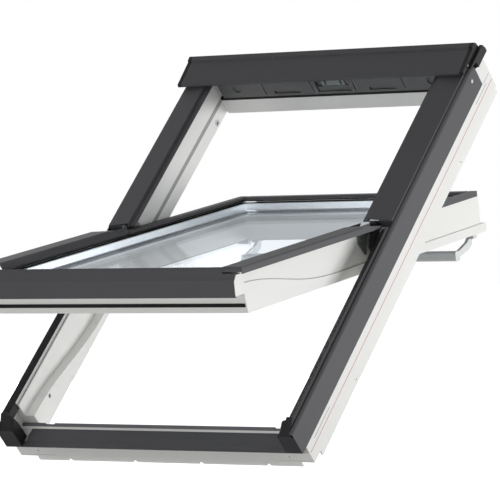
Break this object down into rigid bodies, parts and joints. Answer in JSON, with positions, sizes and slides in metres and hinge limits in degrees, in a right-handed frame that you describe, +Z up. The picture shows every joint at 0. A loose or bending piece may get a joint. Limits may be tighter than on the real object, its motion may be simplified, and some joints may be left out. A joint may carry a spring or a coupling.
{
  "type": "centre-pivot roof window",
  "caption": "Centre-pivot roof window: white frame and glazed sash under dark metal cladding, turning on friction hinges, with a top control bar, ventilation flap, latch and barrel bolt.",
  "frame": {"origin": "Centre of the sill's lower face, at the depth of the installation line.", "axes": "+X to the right seen from outside, +Y towards the room, +Z up. The window leans back at a 45 degree roof pitch, so up the slope is +Y and +Z alike."},
  "size_m": [0.808, 1.1238, 0.942],
  "materials": {
    "white_polyurethane": "smooth white coated polyurethane over timber",
    "grey_cladding": "dark grey lacquered aluminium sheet, satin",
    "black_plastic": "moulded dark plastic, fine texture",
    "black_rubber": "matt black seal",
    "clear_glass": "clear float glass",
    "zinc_steel": "zinc plated steel",
    "anodised_aluminium": "satin anodised",
    "pale_plastic": "moulded pale grey plastic"
  },
  "bodies": {
    "frame": {"bolt_bushes": "pale_plastic", "frame_head": "white_polyurethane", "frame_jamb_left": "white_polyurethane", "frame_jamb_right": "white_polyurethane", "frame_sill": "white_polyurethane", "head_gasket": "black_rubber", "head_strip": "anodised_aluminium", "hinge_frame_left": "zinc_steel", "hinge_frame_right": "zinc_steel", "hood": "grey_cladding", "hood_cap_left": "black_plastic", "hood_cap_right": "black_plastic", "hood_cap_screws": "zinc_steel", "jamb_cladding_left": "grey_cladding", "jamb_cladding_right": "grey_cladding", "jamb_cover_left": "grey_cladding", "jamb_cover_right": "grey_cladding", "jamb_seals": "black_rubber", "jamb_trim_left": "grey_cladding", "jamb_trim_right": "grey_cladding", "latch_striker": "zinc_steel", "sill_cladding": "grey_cladding", "sill_corner_left": "black_plastic", "sill_corner_right": "black_plastic", "sill_gasket": "black_rubber", "skin_plugs": "pale_plastic", "vent_housing": "black_plastic"},
    "sash": {"bar_brackets": "pale_plastic", "bed_gasket": "black_rubber", "bolt_case": "pale_plastic", "edge_seal": "black_rubber", "glazing_gasket": "black_rubber", "hinge_sash_left": "zinc_steel", "hinge_sash_right": "zinc_steel", "hinge_sash_screws": "zinc_steel", "inner_pane": "clear_glass", "latch_case": "zinc_steel", "outer_pane": "clear_glass", "sash_bottom_cladding": "grey_cladding", "sash_bottom_rail": "white_polyurethane", "sash_gasket": "black_rubber", "sash_side_cladding_left": "grey_cladding", "sash_side_cladding_right": "grey_cladding", "sash_stile_left": "white_polyurethane", "sash_stile_right": "white_polyurethane", "sash_top_cladding": "grey_cladding", "sash_top_rail": "white_polyurethane", "sash_upper_cladding_left": "grey_cladding", "sash_upper_cladding_right": "grey_cladding", "spacer_frame": "anodised_aluminium"},
    "bar": {"control_bar": "anodised_aluminium", "vent_flap": "anodised_aluminium"},
    "latch": {"latch": "zinc_steel"},
    "bolt": {"barrel_bolt": "zinc_steel"}
  },
  "joints": [
    {"name": "sash_pivot", "type": "hinge", "parent": "frame", "child": "sash", "pos_m": [0, 0.36027, 0.49533], "axis": [-1, 0, 0], "range_deg": [-35.7, 124.3]},
    {"name": "bar_turn", "type": "hinge", "parent": "sash", "child": "bar", "pos_m": [0, 0.88586, 0.46638], "axis": [1, 0, 0], "range_deg": [0, 35]},
    {"name": "latch_slide", "type": "slide", "parent": "sash", "child": "latch", "axis": [0, -0.9869, -0.1616], "range_m": [0, 0.007]},
    {"name": "bolt_slide", "type": "slide", "parent": "sash", "child": "bolt", "axis": [-1, 0, 0], "range_m": [0, 0.012]}
  ],
  "couplings": [
    {"joint": "latch_slide", "follows": "bar_turn", "m_per_rad": 0.011459}
  ]
}
